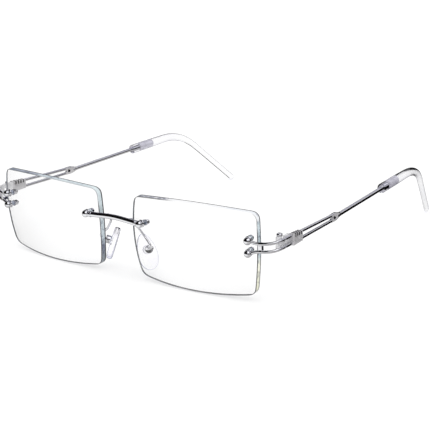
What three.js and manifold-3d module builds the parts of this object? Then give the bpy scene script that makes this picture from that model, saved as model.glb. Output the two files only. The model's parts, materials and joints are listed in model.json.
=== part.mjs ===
// Rimless eyeglasses: two drilled lenses, a bar bridge, double-wire endpieces, hinged temples
// with clear tips, and rocking nose pads. Millimetres, +Z up. The wearer looks along -Y, so the
// wearer's left is +X. The origin is on the table, under the middle of the whole object.
import * as THREE from 'three';
import { mergeVertices } from 'three/addons/utils/BufferGeometryUtils.js';
import Module from 'manifold-3d';

const wasm = await Module();
wasm.setup();

// ---- Driving dimensions ----------------------------------------------------------------
const LENS_WIDTH = 52;              // between the upper corners of one lens
const LENS_TOP = 14.85;             // upper corners above the lens's datum
const LENS_BOTTOM = 16.1;           // lower corners below it
const LENS_BULGE = { top: 1.6, temporal: 1.3, bottom: 1.7, nasal: 1.65 };
const LENS_TAPER = { temporal: 1.9, nasal: 1.15 };   // how far the lower corners step in
const LENS_CORNER = 2.7;            // distance from each corner where its rounding starts
const LENS_THICKNESS = 2.6;
const LENS_CURVE = 105;             // radius of the front surface
const LENS_GAP = 18.8;              // between the two lenses' upper nasal corners
const LENS_DATUM_HEIGHT = 17;
const LENS_WRAP = THREE.MathUtils.degToRad(4.3);
const LENS_TILT = THREE.MathUtils.degToRad(5.2);

const HOLE_RADIUS = 0.95;           // drilled through the lens
const SCREW_RADIUS = 0.5;
const SLEEVE_BORE = 0.62;
const SLEEVE_RADIUS = 0.85;
const BALL_RADIUS = 1.42;
const BALL_HEIGHT = 1.45;           // ball centre above the lens
const EYELET_RADIUS = 1.5;
const EYELET = { low: 0.08, high: 0.6 };
const TEMPORAL_HOLES = { u: 23.3, upper: 5.4, lower: 0.8 };
const NASAL_HOLE = { u: -21.9, v: 5.3 };

const BRIDGE_RADIUS = 1.0;
const BRIDGE_LIFT = 1.3;            // bar axis above the lens surface
const BRIDGE_ARCH = 0.4;

const WIRE_RADIUS = 0.6;
const WIRE_LIFT = 1.2;
const WIRE_SPACING = 2.9;           // between the two wires' axes at the hinge
const RAIL_SPACING_END = 1.9;       // and where the rails meet
const FIT = 0.07;                   // clearance between neighbouring pieces

const HINGE = { x: 68.55, y: 11.0, z: 21.55 };   // temple axis where the temple butts the endpiece
const TEMPLE_CONVERGENCE = THREE.MathUtils.degToRad(2.83);
const TEMPLE_RISE = THREE.MathUtils.degToRad(1.4);
const BAR_RISE = THREE.MathUtils.degToRad(2.2);       // the single bar rises more than the rails
const PIVOT = { x: -1.9, y: 0.15 }; // hinge pin, inboard of the temple axis
const KNUCKLE_RADIUS = 1.0;
const KNUCKLE_HALF = 0.88;          // half height of the temple's knuckle
const HINGE_HALF = 2.5;             // half height of the whole barrel
const PIN_RADIUS = 0.42;
const PIN_BORE = 0.5;

const CLASP = { start: 5.1, end: 11.6, inner: -1.05, outer: 1.15 };
const SLOT_END = 35.2;
const FORK_END = 41.5;
const BAR_RADIUS = 0.8;
// From here on, distances along the temple start at the fork's end, where the single bar begins.
const BAR_END = 47.5;
const FERRULE = { start: 40.5, end: 49.5, bore: 0.88, radius: 1.2 };
const TIP_START = 35.5;
const TIP_BEND = 70;
const TIP_BEND_HALF = 12;           // length of the bend on each side of its corner
const TIP_END = new THREE.Vector3(53.6, 152.9, -0.17);   // centre of the tip's end, near the table

const PAD_PIVOT = new THREE.Vector3(10.3, 8.6, 10.2);
const PAD_LONG = new THREE.Vector3(-0.36, 0, 0.93).normalize();
const PAD_FACE = new THREE.Vector3(-0.8, 0.5, -0.31);
const PAD_LENGTH = 14;
const PAD_WIDTH = 7.2;
const PAD_DROP = 0.8;               // pad's centre below the pivot, along the pad
const PAD_BACK = 0.95;              // pad's back surface in front of the pivot
const PAD_DEPTH = 2.3;

// ---- Materials -------------------------------------------------------------------------
const chrome = new THREE.MeshStandardMaterial({ color: 0xd9dbdf, roughness: 0.12, metalness: 1 });
const satin = new THREE.MeshStandardMaterial({ color: 0xb9babf, roughness: 0.38, metalness: 1 });
const blackened = new THREE.MeshStandardMaterial({ color: 0x24252a, roughness: 0.4, metalness: 0.8 });
const lensGlass = new THREE.MeshStandardMaterial({
  color: 0xe9f2f4, roughness: 0.03, metalness: 0, transparent: true, opacity: 0.3,
});
const clearPlastic = new THREE.MeshStandardMaterial({
  color: 0xf3f3f6, roughness: 0.08, metalness: 0, transparent: true, opacity: 0.5,
});
const clearSilicone = new THREE.MeshStandardMaterial({
  color: 0xe8e6f2, roughness: 0.25, metalness: 0, transparent: true, opacity: 0.5,
});

// ---- Solids ----------------------------------------------------------------------------
function signedVolume(position, index) {
  const a = new THREE.Vector3();
  const b = new THREE.Vector3();
  const c = new THREE.Vector3();
  let sum = 0;
  for (let i = 0; i < index.length; i += 3) {
    a.fromArray(position, index[i] * 3);
    b.fromArray(position, index[i + 1] * 3);
    c.fromArray(position, index[i + 2] * 3);
    sum += a.dot(b.cross(c)) / 6;
  }
  return sum;
}

function flipped(index) {
  const result = [];
  for (let i = 0; i < index.length; i += 3) {
    result.push(index[i], index[i + 2], index[i + 1]);
  }
  return result;
}

// A closed geometry as a manifold solid, with its faces pointing out.
function toSolid(geometry) {
  const bare = geometry.clone();
  bare.deleteAttribute('normal');
  bare.deleteAttribute('uv');
  const merged = mergeVertices(bare, 1e-4);
  const position = merged.attributes.position.array;
  let index = [];
  for (let i = 0; i < merged.index.count; i += 3) {
    const [a, b, c] = [0, 1, 2].map((k) => merged.index.getX(i + k));
    if (a !== b && b !== c && c !== a) index.push(a, b, c);
  }
  if (signedVolume(position, index) < 0) index = flipped(index);
  const mesh = new wasm.Mesh({
    numProp: 3,
    vertProperties: Float32Array.from(position),
    triVerts: Uint32Array.from(index),
  });
  return new wasm.Manifold(mesh);
}

function toGeometry(solid) {
  const mesh = solid.getMesh();
  const geometry = new THREE.BufferGeometry();
  geometry.setAttribute('position', new THREE.BufferAttribute(Float32Array.from(mesh.vertProperties), 3));
  geometry.setIndex(Array.from(mesh.triVerts));
  geometry.computeVertexNormals();
  return geometry;
}

function joined(geometries) {
  return geometries.map(toSolid).reduce((sum, solid) => sum.add(solid));
}

function cut(solid, tools) {
  return tools.map(toSolid).reduce((rest, tool) => rest.subtract(tool), solid);
}

function piece(name, shape, material, matrix = new THREE.Matrix4()) {
  const solid = shape.isBufferGeometry ? toSolid(shape) : shape;
  const mesh = new THREE.Mesh(toGeometry(solid), material);
  mesh.name = name;
  mesh.applyMatrix4(matrix);
  return mesh;
}

// A box given by its low and high corners.
function block(low, high) {
  const size = high.map((value, axis) => value - low[axis]);
  const middle = high.map((value, axis) => (value + low[axis]) / 2);
  return new THREE.BoxGeometry(...size).translate(...middle);
}

// An upright cylinder between two heights.
function post(radius, low, high, sides = 12) {
  return new THREE.CylinderGeometry(radius, radius, high - low, sides)
    .rotateX(Math.PI / 2)
    .translate(0, 0, (low + high) / 2);
}

// A turned solid about Z, from a profile of [radius, height] pairs.
function turned(profile, sides = 12) {
  const points = profile.map(([r, h]) => new THREE.Vector2(r, h));
  return new THREE.LatheGeometry(points, sides).rotateX(Math.PI / 2);
}

function circle(radius, sides = 8) {
  const points = [];
  for (let i = 0; i < sides; i += 1) {
    const angle = (2 * Math.PI * i) / sides;
    points.push(new THREE.Vector2(radius * Math.cos(angle), radius * Math.sin(angle)));
  }
  return new THREE.Shape(points);
}

function tube(curve, radius, steps, sides = 8) {
  return new THREE.ExtrudeGeometry(circle(radius, sides), { extrudePath: curve, steps, bevelEnabled: false });
}

// A plate in the temple's side plane: an outline of [y, z] pairs, between two x values.
function sidePlate(outline, low, high) {
  const shape = new THREE.Shape(outline.map(([y, z]) => new THREE.Vector2(y, z)));
  const plate = new THREE.ExtrudeGeometry(shape, { depth: high - low, bevelEnabled: false });
  const turn = new THREE.Matrix4().makeBasis(
    new THREE.Vector3(0, 1, 0),
    new THREE.Vector3(0, 0, 1),
    new THREE.Vector3(1, 0, 0),
  );
  return plate.applyMatrix4(turn).translate(low, 0, 0);
}

// ---- Frames of reference ---------------------------------------------------------------
// Lens frame: x = u towards the temple, y = depth behind the front surface's vertex, z = v up.
const lensFrame = new THREE.Matrix4()
  .makeTranslation(0, 0, LENS_DATUM_HEIGHT)
  .multiply(new THREE.Matrix4().makeRotationX(LENS_TILT))
  .multiply(new THREE.Matrix4().makeTranslation(LENS_GAP / 2 + (LENS_WIDTH / 2) * Math.cos(LENS_WRAP), 0, 0))
  .multiply(new THREE.Matrix4().makeRotationZ(LENS_WRAP));

// Hinge frame: x outward, y back along the temple, z up, on the temple's axis at the butt joint.
const hingeFrame = new THREE.Matrix4()
  .makeTranslation(HINGE.x, HINGE.y, HINGE.z)
  .multiply(new THREE.Matrix4().makeRotationZ(TEMPLE_CONVERGENCE))
  .multiply(new THREE.Matrix4().makeRotationX(TEMPLE_RISE));

// Bar frame: the same directions, turned up by the bar's own rise, at the fork's end.
const barFrame = new THREE.Matrix4()
  .makeTranslation(0, FORK_END, 0)
  .multiply(new THREE.Matrix4().makeRotationX(BAR_RISE));

function sag(u, v) {
  return LENS_CURVE - Math.sqrt(LENS_CURVE * LENS_CURVE - u * u - v * v);
}

// Seat on the front surface, in the lens frame: x towards the temple, z out along the normal.
function seat(u, v, lift = 0) {
  const normal = new THREE.Vector3(u, sag(u, v) - LENS_CURVE, v).divideScalar(LENS_CURVE);
  const along = new THREE.Vector3(1, 0, 0).addScaledVector(normal, -normal.x).normalize();
  const up = new THREE.Vector3().crossVectors(normal, along);
  const point = new THREE.Vector3(u, sag(u, v), v).addScaledVector(normal, lift);
  return new THREE.Matrix4().makeBasis(along, up, normal).setPosition(point);
}

function seatInGlasses(u, v, lift) {
  return lensFrame.clone().multiply(seat(u, v, lift));
}

function seatPoint(u, v, lift) {
  return new THREE.Vector3().setFromMatrixPosition(seatInGlasses(u, v, lift));
}

// ---- Lens ------------------------------------------------------------------------------
// One side of the outline, bowed outward, stopping short of both corners.
function lensSide(from, to, bulge) {
  const span = to.clone().sub(from);
  const outward = new THREE.Vector2(span.y, -span.x).normalize();
  const inset = LENS_CORNER / span.length();
  const points = [];
  for (let i = 0; i <= 6; i += 1) {
    const s = inset + ((1 - 2 * inset) * i) / 6;
    points.push(from.clone().lerp(to, s).addScaledVector(outward, 4 * bulge * s * (1 - s)));
  }
  return points;
}

function lensOutline() {
  const half = LENS_WIDTH / 2;
  const corners = [
    new THREE.Vector2(-half, LENS_TOP),
    new THREE.Vector2(-half + LENS_TAPER.nasal, -LENS_BOTTOM),
    new THREE.Vector2(half - LENS_TAPER.temporal, -LENS_BOTTOM),
    new THREE.Vector2(half, LENS_TOP),
  ];
  const bulges = [LENS_BULGE.nasal, LENS_BULGE.bottom, LENS_BULGE.temporal, LENS_BULGE.top];
  const outline = [];
  corners.forEach((corner, i) => {
    const next = corners[(i + 1) % corners.length];
    const side = lensSide(corner, next, bulges[i]);
    outline.push(...side);
    const after = lensSide(next, corners[(i + 2) % corners.length], bulges[(i + 1) % bulges.length]);
    const bend = new THREE.QuadraticBezierCurve(side.at(-1), next, after[0]);
    outline.push(...bend.getPoints(5).slice(1, -1));
  });
  return outline;
}

function lensShell() {
  const reach = 36;
  const rings = 5;
  const profile = [];
  for (let i = 0; i <= rings; i += 1) {
    const angle = (Math.asin(reach / LENS_CURVE) * i) / rings;
    profile.push([LENS_CURVE * Math.sin(angle), LENS_CURVE * (1 - Math.cos(angle))]);
  }
  const back = LENS_CURVE - LENS_THICKNESS;
  for (let i = rings; i >= 0; i -= 1) {
    const angle = (Math.asin(reach / LENS_CURVE) * i) / rings;
    profile.push([back * Math.sin(angle), LENS_CURVE - back * Math.cos(angle)]);
  }
  return new THREE.LatheGeometry(profile.map(([r, h]) => new THREE.Vector2(r, h)), 28);
}

function lens() {
  const prism = new THREE.ExtrudeGeometry(new THREE.Shape(lensOutline()), { depth: 24, bevelEnabled: false })
    .rotateX(Math.PI / 2)
    .translate(0, 16, 0);
  const blank = toSolid(lensShell()).intersect(toSolid(prism));
  const drills = [
    seat(TEMPORAL_HOLES.u, TEMPORAL_HOLES.upper),
    seat(TEMPORAL_HOLES.u, TEMPORAL_HOLES.lower),
    seat(NASAL_HOLE.u, NASAL_HOLE.v),
  ].map((place) => post(HOLE_RADIUS, -6, 3).applyMatrix4(place));
  return cut(blank, drills);
}

// ---- Lens fasteners, each standing on the front surface with its shank through the lens -----
function ballScrew() {
  const seatHeight = EYELET.high + FIT;
  const start = Math.asin((seatHeight - BALL_HEIGHT) / BALL_RADIUS);
  const profile = [[0, -4.1], [SCREW_RADIUS, -4.1], [SCREW_RADIUS, seatHeight]];
  for (let i = 0; i <= 5; i += 1) {
    const angle = start + ((Math.PI / 2 - start) * i) / 5;
    profile.push([BALL_RADIUS * Math.cos(angle), BALL_HEIGHT + BALL_RADIUS * Math.sin(angle)]);
  }
  profile[profile.length - 1][0] = 0;
  return turned(profile);
}

function domeNut() {
  const face = -LENS_THICKNESS - 0.42;
  const radius = 1.05;
  return turned([
    [0, -4.25], [SLEEVE_BORE, -4.25], [SLEEVE_BORE, face], [radius, face],
    [radius, face - 0.75], [0.8, face - 1.3], [0.4, face - 1.6], [0, face - 1.68],
  ]);
}

function lensSleeve() {
  const rear = -LENS_THICKNESS - FIT;
  return turned([
    [SLEEVE_BORE, rear - 0.28], [1.2, rear - 0.28], [1.2, rear], [SLEEVE_RADIUS, rear],
    [SLEEVE_RADIUS, -0.05], [SLEEVE_BORE, -0.05], [SLEEVE_BORE, rear - 0.28],
  ]);
}

function lensFasteners(place, suffix) {
  return [
    piece(`lens_screw_${suffix}`, ballScrew(), chrome, place),
    piece(`lens_nut_${suffix}`, domeNut(), chrome, place),
    piece(`lens_sleeve_${suffix}`, lensSleeve(), clearPlastic, place),
  ];
}

// The room a ball screw needs in the piece that it clamps.
function screwRoom(place) {
  return [
    new THREE.SphereGeometry(BALL_RADIUS + FIT, 12, 8).rotateX(Math.PI / 2).translate(0, 0, BALL_HEIGHT)
      .applyMatrix4(place),
    post(SLEEVE_BORE, -1, BALL_HEIGHT).applyMatrix4(place),
  ];
}

function eyelet(place) {
  return post(EYELET_RADIUS, EYELET.low, EYELET.high).applyMatrix4(place);
}

// ---- Endpiece: two wires from the lens to the hinge, tied by a block at the lens's edge ------
function endpieceWire(holeV, edgeV, hingeZ) {
  const start = seatPoint(TEMPORAL_HOLES.u, holeV, WIRE_LIFT);
  const edge = seatPoint(LENS_WIDTH / 2 + 0.9, edgeV, WIRE_LIFT);
  const end = new THREE.Vector3(0, -FIT / 2, hingeZ).applyMatrix4(hingeFrame);
  const back = new THREE.Vector3(0, 1, 0).transformDirection(hingeFrame);
  const leave = edge.clone().sub(start).setZ(0).normalize();
  const bend = new THREE.CubicBezierCurve3(
    edge,
    edge.clone().addScaledVector(leave, 4.6),
    end.clone().addScaledVector(back, -4.0),
    end,
  );
  return new THREE.CatmullRomCurve3([start, ...bend.getPoints(6)], false, 'centripetal');
}

function endpieceWires(extra = 0) {
  const half = WIRE_SPACING / 2;
  const middle = (TEMPORAL_HOLES.upper + TEMPORAL_HOLES.lower) / 2;
  return [
    tube(endpieceWire(TEMPORAL_HOLES.upper, middle + half, half), WIRE_RADIUS + extra, 11),
    tube(endpieceWire(TEMPORAL_HOLES.lower, middle - half, -half), WIRE_RADIUS + extra, 11),
  ];
}

function endpiece() {
  const upper = seatInGlasses(TEMPORAL_HOLES.u, TEMPORAL_HOLES.upper);
  const lower = seatInGlasses(TEMPORAL_HOLES.u, TEMPORAL_HOLES.lower);
  const middle = (TEMPORAL_HOLES.upper + TEMPORAL_HOLES.lower) / 2;
  const edge = seatInGlasses(LENS_WIDTH / 2 + 1.5, middle);
  const link = block([-0.65, -WIRE_SPACING / 2, -0.9], [0.85, WIRE_SPACING / 2, 1.7]).applyMatrix4(edge);
  const metal = joined([...endpieceWires(), link, eyelet(upper), eyelet(lower)]);
  return cut(metal, [...screwRoom(upper), ...screwRoom(lower)]);
}

// ---- Bridge ----------------------------------------------------------------------------
function mirrorPoint(point) {
  return new THREE.Vector3(-point.x, point.y, point.z);
}

const flipX = new THREE.Matrix4().makeScale(-1, 1, 1);

function mirroredGeometry(geometry) {
  const twin = geometry.clone().applyMatrix4(flipX);
  twin.setIndex(flipped(Array.from(twin.index.array)));
  twin.computeVertexNormals();
  return twin;
}

function bridgeCurve() {
  const end = seatPoint(NASAL_HOLE.u, NASAL_HOLE.v, BRIDGE_LIFT);
  const edge = seatPoint(-LENS_WIDTH / 2, NASAL_HOLE.v, BRIDGE_LIFT);
  const middle = new THREE.Vector3(0, edge.y + 0.3, edge.z + BRIDGE_ARCH);
  const points = [mirrorPoint(end), mirrorPoint(edge), middle, edge, end];
  return new THREE.CatmullRomCurve3(points, false, 'centripetal');
}

function bridge() {
  const place = seatInGlasses(NASAL_HOLE.u, NASAL_HOLE.v);
  const collar = post(BRIDGE_RADIUS + 0.16, -0.3, 0.3)
    .applyMatrix4(new THREE.Matrix4().makeRotationY(Math.PI / 2))
    .translate(-2.2, 0, BRIDGE_LIFT)
    .applyMatrix4(place);
  const half = [collar, eyelet(place)];
  const room = screwRoom(place);
  const bar = tube(bridgeCurve(), BRIDGE_RADIUS, 10, 10);
  const both = [bar, ...half, ...half.map(mirroredGeometry)];
  return cut(joined(both), [...room, ...room.map(mirroredGeometry)]);
}

// ---- Nose pad, its box, screw and arm ------------------------------------------------------
// Pad frame: x across the pad, y up its length, z out of its face towards the nose.
const padFace = PAD_FACE.clone().addScaledVector(PAD_LONG, -PAD_FACE.dot(PAD_LONG)).normalize();
const padFrame = new THREE.Matrix4()
  .makeBasis(new THREE.Vector3().crossVectors(PAD_LONG, padFace), PAD_LONG, padFace)
  .setPosition(PAD_PIVOT);

const PAD_TAB = { halfWidth: 0.5, halfHeight: 0.75, low: -0.7, high: 1.5 };
const PAD_PLATE = { radius: 1.7, low: 1.35, high: 1.7 };
const PAD_BOX = { half: 1.6, low: -1.25, high: 0.75 };

function padOutline() {
  const half = PAD_LENGTH / 2;
  const points = [];
  const count = 20;
  for (let i = 0; i < count; i += 1) {
    const angle = (2 * Math.PI * i) / count;
    const rise = Math.sin(angle);
    const width = (PAD_WIDTH / 2) * (1 - 0.2 * rise);
    points.push(new THREE.Vector2(width * Math.cos(angle), half * rise));
  }
  return new THREE.Shape(points);
}

function padBody() {
  const rim = 0.6;
  const body = new THREE.ExtrudeGeometry(padOutline(), {
    depth: PAD_DEPTH - 2 * rim,
    bevelEnabled: true,
    bevelThickness: rim,
    bevelSize: 0.9,
    bevelOffset: -0.9,
    bevelSegments: 2,
  }).translate(0, -PAD_DROP, PAD_BACK + rim);
  const wide = PAD_TAB.halfWidth + FIT;
  const tall = PAD_TAB.halfHeight + FIT;
  const pocket = [
    block([-wide, -tall, 0], [wide, tall, PAD_TAB.high]),
    post(PAD_PLATE.radius + FIT, PAD_PLATE.low - FIT, PAD_PLATE.high + FIT),
  ];
  return cut(toSolid(body), pocket);
}

function padScrewBore() {
  return post(0.4, -2, 2, 8).applyMatrix4(new THREE.Matrix4().makeRotationY(Math.PI / 2));
}

function padStem() {
  const { halfWidth, halfHeight, low, high } = PAD_TAB;
  const tab = block([-halfWidth, -halfHeight, low], [halfWidth, halfHeight, high]);
  const plate = post(PAD_PLATE.radius, PAD_PLATE.low, PAD_PLATE.high);
  return cut(joined([tab, plate]), [padScrewBore()]);
}

function padBox() {
  const shell = post(PAD_BOX.half, PAD_BOX.low, PAD_BOX.high);
  const slot = block([-PAD_TAB.halfWidth - FIT, -2, PAD_BOX.low + 0.35], [PAD_TAB.halfWidth + FIT, 2, 2]);
  return cut(toSolid(shell), [slot, padScrewBore()]);
}

function padScrew() {
  const reach = PAD_BOX.half;
  return turned([
    [0, -reach], [0.32, -reach], [0.32, reach + FIT], [0.62, reach + FIT],
    [0.62, reach + 0.35], [0.3, reach + 0.5], [0, reach + 0.5],
  ], 8);
}

function padArmCurve() {
  const bar = bridgeCurve().getPoint(0.5);
  const start = new THREE.Vector3(5.6, bar.y + BRIDGE_RADIUS + 0.4, bar.z - 0.55);
  const box = new THREE.Vector3(0, 0, PAD_BOX.low - FIT).applyMatrix4(padFrame);
  const out = padFace.clone().negate();
  return new THREE.CatmullRomCurve3([
    start,
    new THREE.Vector3(5.8, 3.6, start.z - 0.2),
    new THREE.Vector3(6.8, 6.2, 19.6),
    new THREE.Vector3(9.8, 7.5, 15.2),
    box.clone().addScaledVector(out, 1.3).add(new THREE.Vector3(0, 0, 1.4)),
    box,
  ], false, 'centripetal');
}

function padArm() {
  const boxRoom = post(PAD_BOX.half + 1, PAD_BOX.low - FIT, 2).applyMatrix4(padFrame);
  return cut(toSolid(tube(padArmCurve(), 0.45, 14)), [boxRoom]);
}

// ---- Hinge -----------------------------------------------------------------------------
function barrel(low, high) {
  return post(KNUCKLE_RADIUS, low, high).translate(PIVOT.x, PIVOT.y, 0);
}

function pinBore() {
  return post(PIN_BORE, -4, 4).translate(PIVOT.x, PIVOT.y, 0);
}

const LEAF = { inner: -1.4, outer: -WIRE_RADIUS - FIT };

function hingeFrontLeaf() {
  const parts = [block([LEAF.inner, -3.4, -HINGE_HALF + 0.2], [LEAF.outer, -1.35, HINGE_HALF - 0.2])];
  for (const side of [-1, 1]) {
    const [low, high] = [side * (KNUCKLE_HALF + FIT), side * HINGE_HALF].sort((a, b) => a - b);
    parts.push(barrel(low, high));
    parts.push(block([PIVOT.x - 0.5, -1.7, low], [LEAF.outer, 0, high]));
  }
  const toHinge = hingeFrame.clone().invert();
  const wires = endpieceWires(FIT).map((wire) => wire.applyMatrix4(toHinge));
  return cut(joined(parts), [...wires, pinBore()]);
}

function hingeTempleLeaf() {
  const parts = [
    block([LEAF.inner, 1.55, -HINGE_HALF + 0.2], [LEAF.outer, 4.7, HINGE_HALF - 0.2]),
    barrel(-KNUCKLE_HALF, KNUCKLE_HALF),
    block([PIVOT.x - 0.5, 0.3, -KNUCKLE_HALF], [LEAF.outer, 1.9, KNUCKLE_HALF]),
  ];
  return cut(joined(parts), [...railTubes(FIT), pinBore()]);
}

function hingeScrew() {
  const top = HINGE_HALF + FIT;
  const head = turned([
    [0, -HINGE_HALF + 0.1], [PIN_RADIUS, -HINGE_HALF + 0.1], [PIN_RADIUS, top], [1.12, top],
    [1.12, top + 0.5], [0.85, top + 0.78], [0, top + 0.85],
  ]);
  const slot = block([-2, -0.16, top + 0.5], [2, 0.16, top + 2]);
  return cut(toSolid(head), [slot]);
}

// ---- Temple ----------------------------------------------------------------------------
function railTubes(extra = 0) {
  return [-1, 1].map((side) => tube(new THREE.LineCurve3(
    new THREE.Vector3(0, FIT / 2, (side * WIRE_SPACING) / 2),
    new THREE.Vector3(0, SLOT_END + 1, (side * RAIL_SPACING_END) / 2),
  ), WIRE_RADIUS + extra, 1));
}

function forkPlate() {
  const tall = RAIL_SPACING_END / 2 + WIRE_RADIUS;
  const outline = [[SLOT_END - 0.6, tall], [SLOT_END - 0.6, 0.45], [SLOT_END, 0.3], [SLOT_END, -0.3],
    [SLOT_END - 0.6, -0.45], [SLOT_END - 0.6, -tall], [SLOT_END + 2.8, -tall],
    [FORK_END, -BAR_RADIUS * 0.8], [FORK_END, BAR_RADIUS * 0.8], [SLOT_END + 2.8, tall]];
  return sidePlate(outline, -0.62, 0.62);
}

const RIVET = { y: SLOT_END + 1.1, radius: 0.45 };

function rivetBore() {
  return post(RIVET.radius + FIT, -3, 3, 8)
    .applyMatrix4(new THREE.Matrix4().makeRotationY(Math.PI / 2))
    .translate(0, RIVET.y, 0);
}

function templeBar() {
  const bar = tube(new THREE.LineCurve3(
    new THREE.Vector3(0, -2.5, 0),
    new THREE.Vector3(0, BAR_END, 0),
  ), BAR_RADIUS, 1, 10).applyMatrix4(barFrame);
  return cut(joined([...railTubes(), forkPlate(), bar]), [rivetBore()]);
}

function railRivet() {
  const head = { radius: 0.62, low: 0.7, high: 0.92 };
  return turned([
    [0, -head.high], [head.radius * 0.8, -head.high], [head.radius, -head.low], [RIVET.radius, -head.low],
    [RIVET.radius, head.low], [head.radius, head.low], [head.radius * 0.8, head.high], [0, head.high],
  ], 8);
}

function clasp() {
  const front = WIRE_SPACING / 2 + WIRE_RADIUS + 0.15;
  const rear = front - 0.3;
  const length = CLASP.end - CLASP.start;
  const outline = [[CLASP.start, -front], [CLASP.end, -rear], [CLASP.end, rear], [CLASP.start, front]];
  const grooves = [];
  for (let i = 0; i < 4; i += 1) {
    const y = CLASP.start + (length * (i + 1)) / 5;
    grooves.push(block([CLASP.outer - 0.22, y - 0.25, -4], [CLASP.outer + 1, y + 0.25, 4]));
    grooves.push(block([-4, y - 0.25, rear - 0.12], [4, y + 0.25, 4]));
    grooves.push(block([-4, y - 0.25, -4], [4, y + 0.25, -rear + 0.12]));
  }
  return cut(toSolid(sidePlate(outline, CLASP.inner, CLASP.outer)), [...grooves, ...railTubes(FIT)]);
}

function ferrule() {
  const { start, end, bore, radius } = FERRULE;
  const profile = [[bore, start], [radius - 0.25, start], [radius, start + 0.4]];
  const rings = 4;
  for (let i = 1; i < rings; i += 1) {
    const y = start + ((end - start) * i) / rings;
    profile.push([radius, y - 0.25], [radius - 0.12, y], [radius, y + 0.25]);
  }
  profile.push([radius, end - 0.2], [radius - 0.2, end], [bore, end], [bore, start]);
  return turned(profile).applyMatrix4(new THREE.Matrix4().makeRotationX(-Math.PI / 2));
}

function tipCurve() {
  const corner = new THREE.Vector3(0, TIP_BEND, 0);
  const toBar = hingeFrame.clone().multiply(barFrame).invert();
  const end = TIP_END.clone().applyMatrix4(toBar);
  const leg = end.clone().sub(corner).normalize();
  const bendStart = new THREE.Vector3(0, TIP_BEND - TIP_BEND_HALF, 0);
  const bendEnd = corner.clone().addScaledVector(leg, TIP_BEND_HALF);
  const curve = new THREE.CurvePath();
  curve.add(new THREE.LineCurve3(new THREE.Vector3(0, TIP_START, 0), bendStart));
  curve.add(new THREE.QuadraticBezierCurve3(bendStart, corner, bendEnd));
  curve.add(new THREE.LineCurve3(bendEnd, end));
  return curve;
}

// Half width and half height of the tip's oval section, s from 0 at the mouth to 1 at the end.
function tipSection(s) {
  const ease = THREE.MathUtils.smoothstep(s, 0.1, 0.75);
  const mouth = Math.sqrt(1 - (1 - Math.min(s / 0.02, 1)) ** 2) * 0.15 + 0.85;
  const round = Math.sqrt(Math.max(1 - (Math.max(s - 0.975, 0) / 0.025) ** 2, 0.04));
  const size = mouth * round;
  return [size * THREE.MathUtils.lerp(1.75, 1.15, ease), size * THREE.MathUtils.lerp(2.0, 1.35, ease)];
}

function templeTip() {
  const curve = tipCurve();
  const stations = [
    0, 0.01, 0.02, 0.1, 0.2, 0.3, 0.36, 0.41, 0.46, 0.51, 0.56, 0.61, 0.7, 0.8, 0.9, 0.975, 0.99, 1,
  ];
  const sides = 12;
  const position = [];
  const index = [];
  stations.forEach((s, ring) => {
    const centre = curve.getPointAt(s);
    const tangent = curve.getTangentAt(s).normalize();
    const across = new THREE.Vector3(1, 0, 0).addScaledVector(tangent, -tangent.x).normalize();
    const up = new THREE.Vector3().crossVectors(across, tangent);
    const [halfWidth, halfHeight] = tipSection(s);
    for (let i = 0; i < sides; i += 1) {
      const angle = (2 * Math.PI * i) / sides;
      const point = centre.clone()
        .addScaledVector(across, halfWidth * Math.cos(angle))
        .addScaledVector(up, halfHeight * Math.sin(angle));
      position.push(point.x, point.y, point.z);
      if (ring > 0) {
        const [a, b] = [(ring - 1) * sides + i, (ring - 1) * sides + ((i + 1) % sides)];
        index.push(a, b, b + sides, a, b + sides, a + sides);
      }
    }
  });
  const last = (stations.length - 1) * sides;
  for (let i = 1; i < sides - 1; i += 1) {
    index.push(0, i + 1, i, last, last + i, last + i + 1);
  }
  const geometry = new THREE.BufferGeometry();
  geometry.setAttribute('position', new THREE.BufferAttribute(Float32Array.from(position), 3));
  geometry.setIndex(index);
  const socket = post(FERRULE.radius + FIT, TIP_START - 1, FERRULE.end + FIT)
    .applyMatrix4(new THREE.Matrix4().makeRotationX(-Math.PI / 2));
  return cut(toSolid(geometry), [socket]);
}

// ---- Assembly --------------------------------------------------------------------------
function leftLensGroup() {
  const group = new THREE.Group();
  group.applyMatrix4(lensFrame);
  group.add(piece('lens_left', lens(), lensGlass));
  group.add(...lensFasteners(seat(TEMPORAL_HOLES.u, TEMPORAL_HOLES.upper), 'upper_left'));
  group.add(...lensFasteners(seat(TEMPORAL_HOLES.u, TEMPORAL_HOLES.lower), 'lower_left'));
  group.add(...lensFasteners(seat(NASAL_HOLE.u, NASAL_HOLE.v), 'bridge_left'));
  return group;
}

function leftPadGroup() {
  const group = new THREE.Group();
  group.applyMatrix4(padFrame);
  group.add(piece('nose_pad_left', padBody(), clearSilicone));
  group.add(piece('pad_stem_left', padStem(), chrome));
  group.add(piece('pad_box_left', padBox(), chrome));
  group.add(piece('pad_screw_left', padScrew(), chrome, new THREE.Matrix4().makeRotationY(-Math.PI / 2)));
  return group;
}

function leftHingeGroup() {
  const group = new THREE.Group();
  group.applyMatrix4(hingeFrame);
  const pinPlace = new THREE.Matrix4().makeTranslation(PIVOT.x, PIVOT.y, 0);
  const rivetPlace = new THREE.Matrix4().makeTranslation(0, RIVET.y, 0)
    .multiply(new THREE.Matrix4().makeRotationY(Math.PI / 2));
  group.add(piece('hinge_front_leaf_left', hingeFrontLeaf(), satin));
  group.add(piece('hinge_screw_left', hingeScrew(), chrome, pinPlace));
  group.add(piece('hinge_temple_leaf_left', hingeTempleLeaf(), satin));
  group.add(piece('temple_bar_left', templeBar(), chrome));
  group.add(piece('temple_clasp_left', clasp(), chrome));
  group.add(piece('rail_rivet_left', railRivet(), blackened, rivetPlace));
  group.add(piece('temple_ferrule_left', ferrule(), satin, barFrame));
  group.add(piece('temple_tip_left', templeTip(), clearPlastic, barFrame));
  return group;
}

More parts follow.
